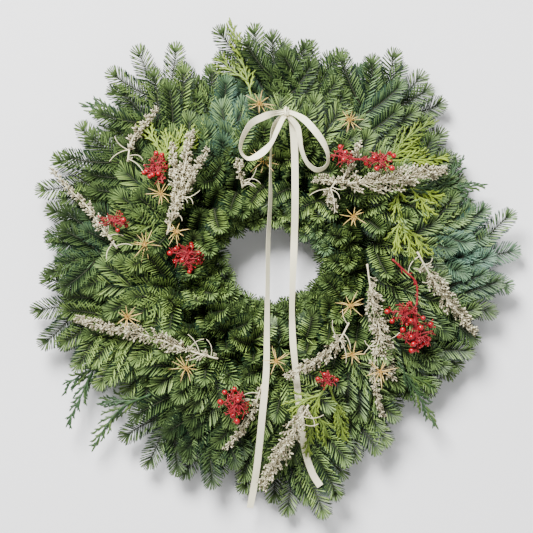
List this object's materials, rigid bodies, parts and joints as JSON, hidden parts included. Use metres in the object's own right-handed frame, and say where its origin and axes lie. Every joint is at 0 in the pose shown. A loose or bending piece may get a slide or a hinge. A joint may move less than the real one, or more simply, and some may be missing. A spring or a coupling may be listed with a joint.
{
  "type": "evergreen wreath",
  "caption": "Round evergreen wreath of fir and cedar with red berry sprigs, pale dried plumes, straw star seed heads and a narrow ivory ribbon bow with long tails",
  "frame": {"origin": "centre of the wreath's outline, on the surface that it lies on", "axes": "+Z out of the wreath's front, +Y towards its top (the side with the bow), +X to the right seen from the front"},
  "size_m": [0.6817, 0.6942, 0.1224],
  "materials": {
    "fir": "waxy needles",
    "cedar": "scale leaves",
    "plume": "dried florets",
    "berry": "glossy skin",
    "straw": "dry straw",
    "satin": "satin",
    "steel_wire": "dark green paint",
    "binding": "green lacquer"
  },
  "bodies": {
    "root": {"berry_sprig_bottom_left": "berry", "berry_sprig_bottom_right": "berry", "berry_sprig_far_left": "berry", "berry_sprig_left": "berry", "berry_sprig_right": "berry", "berry_sprig_top_right": "berry", "berry_sprig_upper_left": "berry", "binding_wire": "binding", "cedar_bottom": "cedar", "cedar_left_fan": "cedar", "cedar_lower_left_inner": "cedar", "cedar_lower_left_outer": "cedar", "cedar_lower_right": "cedar", "cedar_right_branch": "cedar", "cedar_top": "cedar", "cedar_top_left": "cedar", "fir_bunch_01": "fir", "fir_bunch_02": "fir", "fir_bunch_03": "fir", "fir_bunch_04": "fir", "fir_bunch_05": "fir", "fir_bunch_06": "fir", "fir_bunch_07": "fir", "fir_bunch_08": "fir", "fir_bunch_09": "fir", "fir_bunch_10": "fir", "fir_bunch_11": "fir", "fir_bunch_12": "fir", "fir_bunch_13": "fir", "fir_bunch_14": "fir", "fir_bunch_15": "fir", "fir_bunch_16": "fir", "fir_bunch_17": "fir", "fir_bunch_18": "fir", "plume_bottom": "plume", "plume_by_the_bow": "plume", "plume_far_left": "plume", "plume_left_upright": "plume", "plume_lower_centre": "plume", "plume_lower_left": "plume", "plume_lower_right": "plume", "plume_right": "plume", "plume_right_inner": "plume", "plume_right_outer": "plume", "plume_upper_left": "plume", "ribbon_bow": "satin", "seed_head_01": "straw", "seed_head_02": "straw", "seed_head_03": "straw", "seed_head_04": "straw", "seed_head_05": "straw", "seed_head_06": "straw", "seed_head_07": "straw", "seed_head_08": "straw", "seed_head_09": "straw", "seed_head_10": "straw", "seed_head_11": "straw", "seed_head_12": "straw", "seed_head_13": "straw", "wire_frame": "steel_wire"}
  },
  "joints": []
}
